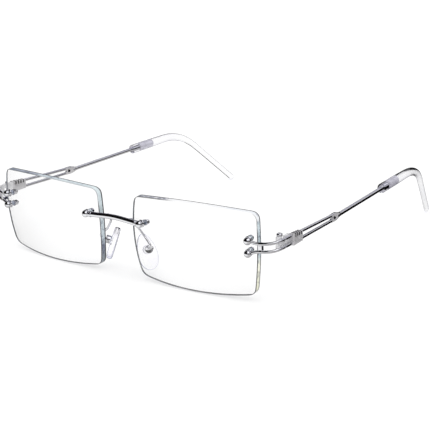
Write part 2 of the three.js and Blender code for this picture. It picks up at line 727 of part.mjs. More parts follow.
function leftHalf() {
  const group = new THREE.Group();
  group.add(leftLensGroup(), leftPadGroup(), leftHingeGroup());
  group.add(piece('endpiece_left', endpiece(), chrome));
  group.add(piece('pad_arm_left', padArm(), chrome));
  return group;
}

// The right half is the left half seen in a mirror.
function mirrored(object) {
  const twin = object.isMesh
    ? new THREE.Mesh(mirroredGeometry(object.geometry), object.material)
    : new THREE.Group();
  twin.name = object.name.replace('left', 'right');
  object.updateMatrix();
  twin.applyMatrix4(flipX.clone().multiply(object.matrix).multiply(flipX));
  object.children.forEach((child) => twin.add(mirrored(child)));
  return twin;
}

const glasses = new THREE.Group();
const left = leftHalf();
glasses.add(left, mirrored(left), piece('bridge', bridge(), chrome));

// Stand the glasses on the table, centred over the origin.
glasses.updateMatrixWorld(true);
const bounds = new THREE.Box3().setFromObject(glasses, true);
glasses.position.set(0, -(bounds.min.y + bounds.max.y) / 2, -bounds.min.z);
glasses.updateMatrixWorld(true);

export default glasses;
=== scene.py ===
import json
import math

import bmesh
import bpy
import numpy as np
from mathutils import Matrix, Vector
from mathutils.geometry import delaunay_2d_cdt


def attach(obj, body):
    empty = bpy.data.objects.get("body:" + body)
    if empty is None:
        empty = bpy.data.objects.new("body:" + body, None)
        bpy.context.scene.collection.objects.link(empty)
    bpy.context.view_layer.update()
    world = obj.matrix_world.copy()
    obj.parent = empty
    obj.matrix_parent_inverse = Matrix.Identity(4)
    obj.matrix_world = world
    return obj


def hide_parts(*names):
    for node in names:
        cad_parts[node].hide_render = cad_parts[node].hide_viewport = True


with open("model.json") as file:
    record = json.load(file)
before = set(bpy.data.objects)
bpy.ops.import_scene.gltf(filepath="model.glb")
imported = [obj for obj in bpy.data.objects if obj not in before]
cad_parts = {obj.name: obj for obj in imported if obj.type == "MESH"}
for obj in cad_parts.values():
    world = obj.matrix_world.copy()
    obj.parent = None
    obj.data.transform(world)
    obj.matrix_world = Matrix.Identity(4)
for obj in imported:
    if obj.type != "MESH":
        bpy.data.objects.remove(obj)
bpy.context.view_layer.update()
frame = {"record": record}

MM = 0.001

# ---- Driving dimensions, in millimetres ----
LENS_WIDTH = 52
LENS_TOP = 14.85
LENS_BOTTOM = 16.1
LENS_BULGE = {"nasal": 1.65, "bottom": 1.7, "temporal": 1.3, "top": 1.6}
LENS_TAPER = {"temporal": 1.9, "nasal": 1.15}
LENS_CORNER = 2.7
LENS_THICKNESS = 2.6
LENS_CURVE = 105
LENS_GAP = 18.8
LENS_DATUM_HEIGHT = 17
LENS_WRAP = math.radians(4.3)
LENS_TILT = math.radians(5.2)
LENS_CHAMFER = 0.22
LENS_GRID = 1.7

HOLE_RADIUS = 0.95
SCREW_RADIUS = 0.5
SLEEVE_BORE = 0.62
SLEEVE_RADIUS = 0.85
BALL_RADIUS = 1.42
BALL_HEIGHT = 1.45
SCREW_END = -4.1
NUT_END = -4.25
EYELET_RADIUS = 1.5
EYELET = {"low": 0.08, "high": 0.6}
HOLES = {"upper": (23.3, 5.4), "lower": (23.3, 0.8), "bridge": (-21.9, 5.3)}

BRIDGE_RADIUS = 1.0
BRIDGE_LIFT = 1.3
BRIDGE_ARCH = 0.4
WIRE_RADIUS = 0.6
WIRE_LIFT = 1.2
WIRE_SPACING = 2.9
RAIL_SPACING_END = 1.9
FIT = 0.07

HINGE = (68.55, 11.0, 21.55)
TEMPLE_CONVERGENCE = math.radians(2.83)
TEMPLE_RISE = math.radians(1.4)
BAR_RISE = math.radians(2.2)
PIVOT = (-1.9, 0.15)
KNUCKLE_RADIUS = 1.0
KNUCKLE_HALF = 0.88
HINGE_HALF = 2.5
PIN_RADIUS = 0.42
LEAF = (-1.4, -WIRE_RADIUS - FIT)

CLASP = {"start": 5.1, "end": 11.6, "inner": -1.05, "outer": 1.15}
SLOT_END = 35.2
RIVET = {"y": SLOT_END + 1.1, "radius": 0.45}
FORK_END = 41.5
BAR_RADIUS = 0.8
BAR_END = 47.5
FERRULE = {"start": 40.5, "end": 49.5, "bore": 0.86, "radius": 1.2}
TIP_START = 35.5
TIP_BEND = 70
TIP_BEND_HALF = 12
TIP_END = (53.6, 152.9, -0.17)

PAD_PIVOT = (10.3, 8.6, 10.2)
PAD_LONG = (-0.36, 0, 0.93)
PAD_FACE = (-0.8, 0.5, -0.31)
PAD_LENGTH = 14
PAD_WIDTH = 7.2
PAD_DROP = 0.8
PAD_BACK = 0.95
PAD_DEPTH = 2.3
PAD_RIM = {"inset": 0.9, "depth": 0.75}
PAD_TAB = {"width": 0.5, "height": 0.75, "low": -0.7, "high": 1.5}
PAD_PLATE = {"radius": 1.7, "low": 1.35, "high": 1.7}
PAD_BOX = {"radius": 1.6, "low": -1.25, "high": 0.75}


# ---- Forms: points, faces and a material number for each face ----
class Form:
    def __init__(self, points, faces, paint=None):
        self.points = np.array(points, float).reshape(-1, 3)
        self.faces = [tuple(int(i) for i in face) for face in faces]
        self.paint = [0] * len(self.faces) if paint is None else list(paint)

    def moved(self, matrix):
        points = self.points @ matrix[:3, :3].T + matrix[:3, 3]
        return Form(points, self.faces, self.paint)

    def mirrored(self):
        faces = [face[::-1] for face in self.faces]
        return Form(self.points * (-1, 1, 1), faces, self.paint)


def shift(x, y, z):
    matrix = np.eye(4)
    matrix[:3, 3] = (x, y, z)
    return matrix


def turn(axis, angle):
    return np.array(Matrix.Rotation(angle, 4, axis))


def basis(x, y, z, origin=(0, 0, 0)):
    matrix = np.eye(4)
    matrix[:3, 0], matrix[:3, 1], matrix[:3, 2], matrix[:3, 3] = x, y, z, origin
    return matrix


def place(matrix, point):
    return matrix[:3, :3] @ np.asarray(point, float) + matrix[:3, 3]


def unit(vector):
    vector = np.asarray(vector, float)
    return vector / np.linalg.norm(vector)


SIXTH = math.pi / 3
ALONG_X = turn("Y", math.pi / 2)
ALONG_Y = turn("X", -math.pi / 2)


# ---- Mesh work ----
def mesh_of(form, name="form", scale=1.0, offset=(0, 0, 0)):
    mesh = bpy.data.meshes.new(name)
    points = form.points * scale + np.asarray(offset)
    mesh.from_pydata(points.tolist(), [], form.faces)
    mesh.polygons.foreach_set("material_index", form.paint)
    work = bmesh.new()
    work.from_mesh(mesh)
    bmesh.ops.recalc_face_normals(work, faces=work.faces)
    work.to_mesh(mesh)
    work.free()
    return mesh


def added(name, data):
    """A new object that shows the mesh, lamp or camera."""
    obj = bpy.data.objects.new(name, data)
    bpy.context.collection.objects.link(obj)
    return obj


def temporary(form):
    return added("temporary", mesh_of(form))


def evaluated(obj):
    """The form that obj's modifiers give. obj itself is removed."""
    shown = obj.evaluated_get(bpy.context.evaluated_depsgraph_get())
    mesh = shown.to_mesh()
    points = [tuple(v.co) for v in mesh.vertices]
    faces = [tuple(p.vertices) for p in mesh.polygons]
    paint = [p.material_index for p in mesh.polygons]
    shown.to_mesh_clear()
    bpy.data.objects.remove(obj)
    return Form(points, faces, paint)


def combined(base, others, operation):
    obj = temporary(base)
    tools = [temporary(other) for other in others]
    for tool in tools:
        modifier = obj.modifiers.new("combine", "BOOLEAN")
        modifier.operation = operation
        modifier.solver = "EXACT"
        modifier.object = tool
    result = evaluated(obj)
    for tool in tools:
        bpy.data.objects.remove(tool)
    return result


def painted(form, wanted):
    """The form with paint 1 on the faces that wanted(middle, normal) picks."""
    paint = list(form.paint)
    for i, face in enumerate(form.faces):
        corners = form.points[list(face)]
        normal = np.cross(corners, np.roll(corners, -1, axis=0)).sum(axis=0)
        if wanted(corners.mean(axis=0), normal / max(np.linalg.norm(normal), 1e-12)):
            paint[i] = 1
    return Form(form.points, form.faces, paint)


def joined(forms):
    return combined(forms[0], forms[1:], "UNION")


def cut(form, tools):
    return combined(form, tools, "DIFFERENCE")


def bevelled(form, width, segments=2, angle=35):
    obj = temporary(form)
    modifier = obj.modifiers.new("bevel", "BEVEL")
    modifier.width = width
    modifier.segments = segments
    modifier.limit_method = "ANGLE"
    modifier.angle_limit = math.radians(angle)
    return evaluated(obj)


def loft(rings, close=False):
    """A skin through rings of points. A ring of one point is a pole. close joins last to first."""
    points, starts = [], []
    for ring in rings:
        starts.append(len(points))
        points += [tuple(p) for p in ring]
    faces = []
    pairs = list(zip(range(len(rings)), range(1, len(rings))))
    if close:
        pairs.append((len(rings) - 1, 0))
    for low, high in pairs:
        a, b = starts[low], starts[high]
        count = max(len(rings[low]), len(rings[high]))
        for i in range(count):
            j = (i + 1) % count
            if len(rings[low]) == 1:
                faces.append((a, b + i, b + j))
            elif len(rings[high]) == 1:
                faces.append((a + i, b, a + j))
            else:
                faces.append((a + i, b + i, b + j, a + j))
    if not close:
        for ring, start in ((rings[0], starts[0]), (rings[-1], starts[-1])):
            if len(ring) > 1:
                faces.append(tuple(range(start, start + len(ring))))
    return Form(points, faces)


def bend(start, corner, end, t):
    """A point on the curve from start to end that the corner pulls towards it."""
    return (1 - t) ** 2 * start + 2 * t * (1 - t) * corner + t * t * end


def rounded(profile, size, segments=3, closed=False):
    """A profile with its corners rounded, by at most size along each side."""
    points = [np.asarray(p, float) for p in profile]
    count = len(points)
    result = []
    for i, corner in enumerate(points):
        if not closed and i in (0, count - 1):
            result.append(corner)
            continue
        before, after = points[i - 1] - corner, points[(i + 1) % count] - corner
        reach = min(size, 0.45 * np.linalg.norm(before), 0.45 * np.linalg.norm(after))
        start, end = corner + reach * unit(before), corner + reach * unit(after)
        result += [bend(start, corner, end, k / segments) for k in range(segments + 1)]
    return result


def circle(sides):
    """Directions round a circle, one for each side."""
    angles = [2 * math.pi * i / sides for i in range(sides)]
    return [(math.cos(a), math.sin(a)) for a in angles]


def turned(profile, sides=32, flats=None):
    """A turned solid about Z, from [radius, height] pairs. flats is half its width over a hexagon."""
    rings = []
    for radius, height in profile:
        if radius < 1e-6:
            rings.append([(0, 0, height)])
            continue
        ring = []
        for i, (x, y) in enumerate(circle(sides)):
            size = radius
            if flats:
                off_flat = (2 * math.pi * i / sides + SIXTH / 2) % SIXTH - SIXTH / 2
                size = min(radius, flats / math.cos(off_flat))
            ring.append((size * x, size * y, height))
        rings.append(ring)
    return loft(rings, close=profile[0][0] >= 1e-6)


def post(radius, low, high, sides=32, edge=0.0):
    profile = [(0, low), (radius, low), (radius, high), (0, high)]
    return turned(rounded(profile, edge) if edge else profile, sides)


def ball(radius, centre, sides=32):
    arc = [math.pi * (i / (sides // 2) - 0.5) for i in range(sides // 2 + 1)]
    profile = [(max(radius * math.cos(a), 0), radius * math.sin(a)) for a in arc]
    profile[0], profile[-1] = (0, -radius), (0, radius)
    return turned(profile, sides).moved(shift(*centre))


def block(low, high):
    x, y, z = ((low[i], high[i]) for i in range(3))
    rings = [[(x[0], y[0], h), (x[1], y[0], h), (x[1], y[1], h), (x[0], y[1], h)] for h in z]
    return loft(rings)


def side_plate(outline, low, high):
    return loft([[(x, y, z) for y, z in outline] for x in (low, high)])


# ---- Curves ----
def spline(points, steps):
    """A centripetal Catmull-Rom curve through the points, with steps pieces per span."""
    p = [np.asarray(point, float) for point in points]
    p = [2 * p[0] - p[1]] + p + [2 * p[-1] - p[-2]]
    result = [p[1]]
    for i in range(1, len(p) - 2):
        gaps = [math.sqrt(np.linalg.norm(p[i + k] - p[i + k - 1])) for k in range(3)]
        d0, d1, d2 = gaps
        t1 = (p[i] - p[i - 1]) / d0 - (p[i + 1] - p[i - 1]) / (d0 + d1) + (p[i + 1] - p[i]) / d1
        t2 = (p[i + 1] - p[i]) / d1 - (p[i + 2] - p[i]) / (d1 + d2) + (p[i + 2] - p[i + 1]) / d2
        t1, t2 = t1 * d1, t2 * d1
        for k in range(1, steps + 1):
            s = k / steps
            cubic = 2 * p[i] - 2 * p[i + 1] + t1 + t2
            square = -3 * p[i] + 3 * p[i + 1] - 2 * t1 - t2
            result.append(p[i] + t1 * s + square * s * s + cubic * s ** 3)
    return np.array(result)


def bezier(a, b, c, d, steps):
    a, b, c, d = (np.asarray(p, float) for p in (a, b, c, d))
    result = []
    for k in range(steps + 1):
        t = k / steps
        w = (1 - t) ** 3, 3 * t * (1 - t) ** 2, 3 * t * t * (1 - t), t ** 3
        result.append(w[0] * a + w[1] * b + w[2] * c + w[3] * d)
    return result


def resampled(points, spacing):
    points = np.asarray(points, float)
    lengths = np.concatenate([[0], np.cumsum(np.linalg.norm(np.diff(points, axis=0), axis=1))])
    count = max(2, int(round(lengths[-1] / spacing)) + 1)
    marks = np.linspace(0, lengths[-1], count)
    return np.stack([np.interp(marks, lengths, points[:, k]) for k in range(3)], axis=1)


def frames_along(points, across=(1, 0, 0)):
    """For each point, its tangent and two directions across that turn as little as they can."""
    points = np.asarray(points, float)
    tangents = [unit(t) for t in np.gradient(points, axis=0)]
    result = []
    side = np.asarray(across, float)
    for tangent in tangents:
        side = unit(side - np.dot(side, tangent) * tangent)
        result.append((tangent, side, np.cross(tangent, side)))
    return result


def tube(points, radius, sides=20, ends=0.12):
    """A round tube along the points, with its end edges eased by ends."""
    first_way = np.asarray(points[1]) - np.asarray(points[0])
    across = (0, 0, 1) if abs(unit(first_way)[2]) < 0.8 else (1, 0, 0)
    frames = frames_along(points, across)
    last = len(points) - 1

    def ring(i, size, along=0.0):
        tangent, side, up = frames[i]
        return [points[i] + along * tangent + size * (x * side + y * up) for x, y in circle(sides)]

    eased = [(1, 0), (0.3, 0.3), (0, 1)]
    start = [ring(0, radius - less * ends, along * ends) for less, along in eased]
    middle = [ring(i, radius) for i in range(1, last)]
    end = [ring(last, radius - less * ends, -along * ends) for less, along in reversed(eased)]
    return loft(start + middle + end)


# ---- Frames of reference ----
LENS_FRAME = (
    shift(0, 0, LENS_DATUM_HEIGHT)
    @ turn("X", LENS_TILT)
    @ shift(LENS_GAP / 2 + LENS_WIDTH / 2 * math.cos(LENS_WRAP), 0, 0)
    @ turn("Z", LENS_WRAP)
)
HINGE_FRAME = shift(*HINGE) @ turn("Z", TEMPLE_CONVERGENCE) @ turn("X", TEMPLE_RISE)
BAR_FRAME = HINGE_FRAME @ shift(0, FORK_END, 0) @ turn("X", BAR_RISE)
PAD_UP = unit(PAD_LONG)
PAD_OUT = unit(np.array(PAD_FACE) - np.dot(PAD_FACE, PAD_UP) * PAD_UP)
PAD_FRAME = basis(np.cross(PAD_UP, PAD_OUT), PAD_UP, PAD_OUT, PAD_PIVOT)


def joint(name):
    return next(j for j in frame["record"]["behaviour"]["joints"] if j["name"] == name)


# What moves the glasses' own frame onto the row frame: the left hinge is at a known place in both.
ROW_SHIFT = np.array(joint("temple_fold_left")["pos_m"]) - MM * place(HINGE_FRAME, (*PIVOT, 0))


def sag(u, v, radius=LENS_CURVE):
    return LENS_CURVE - math.sqrt(radius * radius - u * u - v * v)


def seat(u, v, lift=0.0):
    """On the lens's front surface, in the glasses' frame: x to the temple, z out of the lens."""
    normal = np.array([u, sag(u, v) - LENS_CURVE, v]) / LENS_CURVE
    along = unit(np.array([1, 0, 0]) - normal[0] * normal)
    point = np.array([u, sag(u, v), v]) + lift * normal
    return LENS_FRAME @ basis(along, np.cross(normal, along), normal, point)


def seat_point(u, v, lift):
    return seat(u, v, lift)[:3, 3]


SEATS = {name: seat(*hole) for name, hole in HOLES.items()}


# ---- Lens ----
def lens_side(start, end, bulge, count=30):
    span = end - start
    outward = unit((span[1], -span[0]))
    inset = LENS_CORNER / np.linalg.norm(span)
    result = []
    for i in range(count + 1):
        s = inset + (1 - 2 * inset) * i / count
        result.append(start + s * span + 4 * bulge * s * (1 - s) * outward)
    return result


def lens_outline():
    half = LENS_WIDTH / 2
    corners = np.array([
        (-half, LENS_TOP),
        (-half + LENS_TAPER["nasal"], -LENS_BOTTOM),
        (half - LENS_TAPER["temporal"], -LENS_BOTTOM),
        (half, LENS_TOP),
    ])
    sides = [
        lens_side(corners[i], corners[(i + 1) % 4], bulge)
        for i, bulge in enumerate(LENS_BULGE.values())
    ]
    outline = []
    for i, side in enumerate(sides):
        outline += side
        corner, following = corners[(i + 1) % 4], sides[(i + 1) % 4][0]
        outline += [bend(side[-1], corner, following, k / 9) for k in range(1, 9)]
    return np.array(outline)


def inset_loop(loop, distance):
    along = np.roll(loop, -1, axis=0) - np.roll(loop, 1, axis=0)
    along /= np.linalg.norm(along, axis=1)[:, None]
    return loop + distance * np.stack([-along[:, 1], along[:, 0]], axis=1)


def distance_to_loop(points, loop):
    return np.min(np.linalg.norm(points[:, None, :] - loop[None, :, :], axis=2), axis=1)


def inside_loop(points, loop):
    result = np.zeros(len(points), bool)
    for a, b in zip(loop, np.roll(loop, -1, axis=0)):
        crosses = (a[1] > points[:, 1]) != (b[1] > points[:, 1])
        slope = (points[:, 1] - a[1]) / (b[1] - a[1] + 1e-12)
        result ^= crosses & (points[:, 0] < a[0] + slope * (b[0] - a[0]))
    return result


def lens_grid(outline, holes):
    half = LENS_WIDTH / 2 + 3
    rows = np.arange(-half, half, LENS_GRID)
    grid = np.array([(u + (j % 2) * LENS_GRID / 2, v) for j, v in enumerate(rows) for u in rows])
    keep = inside_loop(grid, outline) & (distance_to_loop(grid, outline) > 0.5 * LENS_GRID)
    for hole in holes:
        keep &= np.linalg.norm(grid - hole, axis=1) > HOLE_RADIUS + 0.8
    return grid[keep]


def lens():
    """The lens. Paint: 0 its faces, 1 its edge and bores, 2 its front chamfer, 3 its back line; 2 and 3
    carry near-black painted shade.
    """
    outline = lens_outline()
    rim = inset_loop(outline, LENS_CHAMFER)
    centres = list(HOLES.values())
    sides = 28
    round_way = circle(sides)
    ease = 0.12
    mouths = [np.array(c) + (HOLE_RADIUS + ease) * np.array(round_way) for c in centres]
    flat = np.vstack([rim, *mouths, lens_grid(rim, np.array(centres))])
    starts = [len(rim) + sides * i for i in range(len(mouths))]
    edges = [(s + i, s + (i + 1) % sides) for s in starts for i in range(sides)]
    result = delaunay_2d_cdt([Vector(p) for p in flat], edges, [list(range(len(rim)))], 1, 1e-5)
    faces = [[result[3][i][0] for i in face] for face in result[2]]
    bores = [set(range(s, s + sides)) for s in starts]
    faces = [face for face in faces if not any(set(face) <= bore for bore in bores)]

    # The back face is drawn in towards the lens's middle as the bores are, except at the rim.
    away = np.clip(distance_to_loop(flat, outline) / 2.4, 0, 1)
    away[: len(rim)] = 0
    drawn = 1 - (LENS_THICKNESS / LENS_CURVE) * away * away * (3 - 2 * away)
    behind = flat * drawn[:, None]
    inner = LENS_CURVE - LENS_THICKNESS
    front_points = [(u, sag(u, v), v) for u, v in flat]
    back_points = [(u, sag(u, v, inner), v) for u, v in behind]
    points = front_points + back_points
    back = len(flat)
    skin = [tuple(f) for f in faces] + [tuple(i + back for i in f[::-1]) for f in faces]
    paint = [0] * len(skin)

    def wall(front_ids, back_ids, rings):
        """Rings of new points between a loop on the front face and one on the back face."""
        loops = [front_ids]
        for ring in rings:
            loops.append(list(range(len(points), len(points) + len(ring))))
            points.extend(ring)
        loops.append(back_ids)
        for a, b in zip(loops, loops[1:]):
            count = len(a)
            for i in range(count):
                j = (i + 1) % count
                skin.append((a[i], b[i], b[j], a[j]))
                paint.append(1)

    count = len(rim)
    rows = []
    for share in (0, 0.38, 0.76, 1):
        depth = LENS_CHAMFER + share * (LENS_THICKNESS - 2 * LENS_CHAMFER)
        rows.append([(u, sag(u, v) + depth, v) for u, v in outline])
    edge_start = len(paint)
    wall(list(range(count)), list(range(back, back + count)), rows)
    # The chamfer row and the last two rows of the edge get the paints for painted shade.
    paint[edge_start:edge_start + count] = [2] * count
    paint[-2 * count:] = [3] * (2 * count)
    to_lens = np.linalg.inv(LENS_FRAME)
    for start, centre in zip(starts, centres):
        axis = to_lens @ seat(*centre)
        rows = []
        for depth in (ease, LENS_THICKNESS / 2, LENS_THICKNESS - ease):
            ring = [place(axis, (HOLE_RADIUS * x, HOLE_RADIUS * y, -depth)) for x, y in round_way]
            rows.append([tuple(p) for p in ring])
        ids = list(range(start, start + sides))
        wall(ids, [i + back for i in ids], rows)
    return Form(points, skin, paint).moved(LENS_FRAME)


# ---- Lens fasteners ----
def ball_screw():
    low = EYELET["high"] + FIT
    start = math.asin((low - BALL_HEIGHT) / BALL_RADIUS)
    radius = SCREW_RADIUS
    profile = [(0, SCREW_END), (radius - 0.08, SCREW_END), (radius, SCREW_END + 0.08), (radius, low)]
    for i in range(13):
        angle = start + (math.pi / 2 - start) * i / 12
        height = BALL_HEIGHT + BALL_RADIUS * math.sin(angle)
        profile.append((BALL_RADIUS * math.cos(angle), height))
    profile[-1] = (0, BALL_HEIGHT + BALL_RADIUS)
    return turned(profile, 40)


def dome_nut():
    """A domed nut behind the lens, hexagonal below its dome."""
    radius, dome = 1.05, 0.98
    face = -LENS_THICKNESS - 0.42
    shoulder = face - 0.7
    profile = [(0, NUT_END), (SLEEVE_BORE, NUT_END), (SLEEVE_BORE, face), (radius, face), (radius, shoulder)]
    for i in range(1, 8):
        angle = math.pi / 2 * i / 7
        profile.append((radius * math.cos(angle), shoulder - dome * math.sin(angle)))
    profile[-1] = (0, shoulder - dome)
    return turned(rounded(profile, 0.06, 2), 48, 0.93)


def lens_sleeve():
    rear = -LENS_THICKNESS - FIT
    profile = [(SLEEVE_BORE, rear - 0.28), (1.2, rear - 0.28), (1.2, rear), (SLEEVE_RADIUS, rear),
               (SLEEVE_RADIUS, -0.05), (SLEEVE_BORE, -0.05)]
    return turned(rounded(profile, 0.08, 3, closed=True), 32)


def screw_room(matrix):
    room = ball(BALL_RADIUS + 0.03, (0, 0, BALL_HEIGHT))
    return [room.moved(matrix), post(SLEEVE_BORE, -1, BALL_HEIGHT).moved(matrix)]


def eyelet(matrix):
    return post(EYELET_RADIUS, EYELET["low"], EYELET["high"], 40, 0.14).moved(matrix)


# ---- Endpiece ----
def endpiece_wire(hole, edge_v, hinge_z):
    start = seat_point(*HOLES[hole], WIRE_LIFT)
    edge = seat_point(LENS_WIDTH / 2 + 0.9, edge_v, WIRE_LIFT)
    end = place(HINGE_FRAME, (0, -FIT / 2, hinge_z))
    back = HINGE_FRAME[:3, 1]
    leave = unit((edge - start) * (1, 1, 0))
    curve = bezier(edge, edge + 4.6 * leave, end - 4.0 * back, end, 6)
    return resampled(spline([start, *curve], 8), 0.28)


def endpiece():
    middle = (HOLES["upper"][1] + HOLES["lower"][1]) / 2
    half = WIRE_SPACING / 2
    wires = [
        tube(endpiece_wire("upper", middle + half, half), WIRE_RADIUS),
        tube(endpiece_wire("lower", middle - half, -half), WIRE_RADIUS),
    ]
    edge = seat(LENS_WIDTH / 2 + 1.5, middle)
    link = bevelled(block((-0.65, -half, -0.9), (0.85, half, 1.7)), 0.2, 3).moved(edge)
    metal = joined([wires[0], wires[1], link, eyelet(SEATS["upper"]), eyelet(SEATS["lower"])])
    return cut(metal, screw_room(SEATS["upper"]) + screw_room(SEATS["lower"]))


# ---- Bridge ----
def bridge_route(steps=12):
    end = seat_point(*HOLES["bridge"], BRIDGE_LIFT)
    edge = seat_point(-LENS_WIDTH / 2, HOLES["bridge"][1], BRIDGE_LIFT)
    middle = np.array([0, edge[1] + 0.3, edge[2] + BRIDGE_ARCH])
    flip = np.array([-1, 1, 1])
    return spline([end * flip, edge * flip, middle, edge, end], steps)


def bridge():
    """The bar with, at each end, a stepped collar and the eyelet that its screw clamps."""
    matrix = SEATS["bridge"]
    steps = [(BRIDGE_RADIUS + 0.16, -0.3, 0.3), (BRIDGE_RADIUS + 0.08, 0.62, 0.82)]
    half = [eyelet(matrix)]
    for radius, low, high in steps:
        ring = post(radius, low, high, 40, 0.07).moved(matrix @ shift(-2.2, 0, BRIDGE_LIFT) @ ALONG_X)
        half.append(ring)
    bar = tube(resampled(bridge_route(), 0.35), BRIDGE_RADIUS, 28, 0.25)
    metal = joined([bar, *half, *[form.mirrored() for form in half]])
    room = screw_room(matrix)
    return cut(metal, room + [form.mirrored() for form in room])


# ---- Nose pad, its box, screw and arm ----
def pad_ring(inset, height, sides=48):
    half = PAD_LENGTH / 2
    ring = []
    for across, rise in circle(sides):
        width = PAD_WIDTH / 2 * (1 - 0.2 * rise)
        ring.append(((width - inset) * across, (half - inset) * rise - PAD_DROP, height))
    return ring


def nose_pad():
    """A soft drop-shaped pad: a flat middle on the nose's side, rounded all the way to its back."""
    low, high = PAD_BACK, PAD_BACK + PAD_DEPTH
    rings = [[(0, -PAD_DROP, low + 0.05)], pad_ring(2.6, low + 0.03), pad_ring(1.6, low + 0.01)]
    quarter = [math.pi / 2 * i / 8 for i in range(9)]
    curve = [(1 - math.sin(angle), 1 - math.cos(angle)) for angle in quarter]
    curve = [(PAD_RIM["inset"] * inset, PAD_RIM["depth"] * rise) for inset, rise in curve]
    rings += [pad_ring(inset, low + rise) for inset, rise in curve]
    rings += [pad_ring(inset, high - rise) for inset, rise in reversed(curve)]
    rings += [pad_ring(1.6, high), pad_ring(2.6, high), [(0, -PAD_DROP, high)]]
    return loft(rings).moved(PAD_FRAME)


def pad_stem():
    """The pad's metal core: a round plate moulded into the silicone, and the tab in the box."""
    w, h = PAD_TAB["width"], PAD_TAB["height"]
    tab = bevelled(block((-w, -h, PAD_TAB["low"]), (w, h, PAD_TAB["high"])), 0.12)
    plate = post(PAD_PLATE["radius"], PAD_PLATE["low"], PAD_PLATE["high"], 40, 0.1)
    metal = joined([tab, plate])
    holes = [post(0.3, 1, 2, 16).moved(shift(0, side * 1.2, 0)) for side in (-1, 1)]
    bore = post(0.4, -2, 2, 20).moved(ALONG_X)
    return cut(metal, [*holes, bore]).moved(PAD_FRAME)


def pad_box():
    edge = 0.3
    shell = post(PAD_BOX["radius"], PAD_BOX["low"], PAD_BOX["high"], 40, edge)
    width = PAD_TAB["width"] + FIT
    slot = block((-width, -2, PAD_BOX["low"] + 0.35), (width, 2, 2))
    bore = post(0.4, -2, 2, 20).moved(ALONG_X)
    return bevelled(cut(shell, [slot, bore]), 0.05, 2).moved(PAD_FRAME)


def slotted_head(radius, low, high, slot):
    profile = [(0, low), (radius, low), (radius, low + 0.6 * (high - low)), (0.8 * radius, high), (0, high)]
    head = turned(rounded(profile, 0.14, 3), 36)
    groove = block((-2, -slot / 2, high - 0.45 * (high - low)), (2, slot / 2, high + 1))
    return cut(head, [groove])


def pad_screw():
    reach = PAD_BOX["radius"]
    head = slotted_head(0.62, reach + FIT, reach + 0.5, 0.2)
    shank = post(0.32, -reach, reach + FIT + 0.02, 24, 0.08)
    return joined([head, shank]).moved(PAD_FRAME @ turn("Y", -math.pi / 2))


def pad_arm():
    bar = bridge_route()[24]
    start = np.array([5.6, bar[1] + BRIDGE_RADIUS + 0.4, bar[2] - 0.55])
    box = place(PAD_FRAME, (0, 0, PAD_BOX["low"] - FIT))
    route = [
        start,
        (5.8, 3.6, start[2] - 0.2),
        (6.8, 6.2, 19.6),
        (9.8, 7.5, 15.2),
        box - 1.3 * PAD_OUT + (0, 0, 1.4),
        box,
    ]
    wire = tube(resampled(spline(route, 14), 0.3), 0.45, 20, 0.1)
    foot = bevelled(post(0.62, -0.25, 0.3, 24), 0.08)
    way = unit(np.array(route[1]) - start)
    across = unit(np.cross(way, (0, 0, 1)))
    foot = foot.moved(basis(across, np.cross(way, across), way, start + 0.2 * way))
    room = post(PAD_BOX["radius"] + 1, PAD_BOX["low"] - FIT, 2).moved(PAD_FRAME)
    return cut(joined([wire, foot]), [room])


# ---- Hinge ----
def barrel(low, high):
    return post(KNUCKLE_RADIUS, low, high, 36).moved(shift(*PIVOT, 0))


def leaf(parts):
    bore = post(PIN_RADIUS + 0.08, -4, 4, 24).moved(shift(*PIVOT, 0))
    return bevelled(cut(joined(parts), [bore]), 0.07).moved(HINGE_FRAME)


def hinge_front_leaf():
    rise = HINGE_HALF - 0.2
    parts = [block((LEAF[0], -3.4, -rise), (LEAF[1], -1.35, rise))]
    for side in (-1, 1):
        low, high = sorted((side * (KNUCKLE_HALF + FIT), side * HINGE_HALF))
        parts.append(barrel(low, high))
        parts.append(block((PIVOT[0] - 0.5, -1.7, low), (LEAF[1], 0, high)))
    return leaf(parts)


def hinge_temple_leaf():
    rise = HINGE_HALF - 0.2
    parts = [
        block((LEAF[0], 1.55, -rise), (LEAF[1], 4.7, rise)),
        barrel(-KNUCKLE_HALF, KNUCKLE_HALF),
        block((PIVOT[0] - 0.5, 0.3, -KNUCKLE_HALF), (LEAF[1], 1.9, KNUCKLE_HALF)),
    ]
    return leaf(parts)


def hinge_screw():
    top = HINGE_HALF + FIT
    head = slotted_head(1.12, top, top + 0.85, 0.3)
    shank = post(PIN_RADIUS, -HINGE_HALF + 0.1, top + 0.05, 24, 0.08)
    return joined([head, shank]).moved(HINGE_FRAME @ shift(*PIVOT, 0))


# ---- Temple ----
def rail_route(side, count):
    start = (0, FIT / 2, side * WIRE_SPACING / 2)
    return np.linspace(start, (0, SLOT_END + 1, side * RAIL_SPACING_END / 2), count)


def temple_bar():
    """Two rails, the fork that joins them and the single bar, all one piece of metal."""
    rails = [tube(rail_route(side, 24), WIRE_RADIUS) for side in (-1, 1)]
    tall = RAIL_SPACING_END / 2 + WIRE_RADIUS
    neck = BAR_RADIUS * 0.8
    upper = [(SLOT_END, 0.3), (SLOT_END - 0.6, 0.45), (SLOT_END - 0.6, tall), (SLOT_END + 2.8, tall),
             (FORK_END, neck)]
    outline = upper + [(y, -z) for y, z in reversed(upper)]
    fork = bevelled(side_plate(outline, -0.62, 0.62), 0.2, 4, 20)
    bar_line = np.linspace((0, -2.5, 0), (0, BAR_END, 0), 30)
    bar = tube(bar_line, BAR_RADIUS, 24, 0.2).moved(shift(0, FORK_END, 0) @ turn("X", BAR_RISE))
    hole = post(RIVET["radius"] + 0.04, -3, 3, 24).moved(shift(0, RIVET["y"], 0) @ ALONG_X)
    whole = cut(joined([fork, rails[0], rails[1], bar]), [hole])

    def on_fork_plate(middle, normal):
        return SLOT_END - 1 < middle[1] < FORK_END and abs(normal[0]) > 0.9 and 0.55 < abs(middle[0]) < 0.7
    return painted(whole, on_fork_plate).moved(HINGE_FRAME)


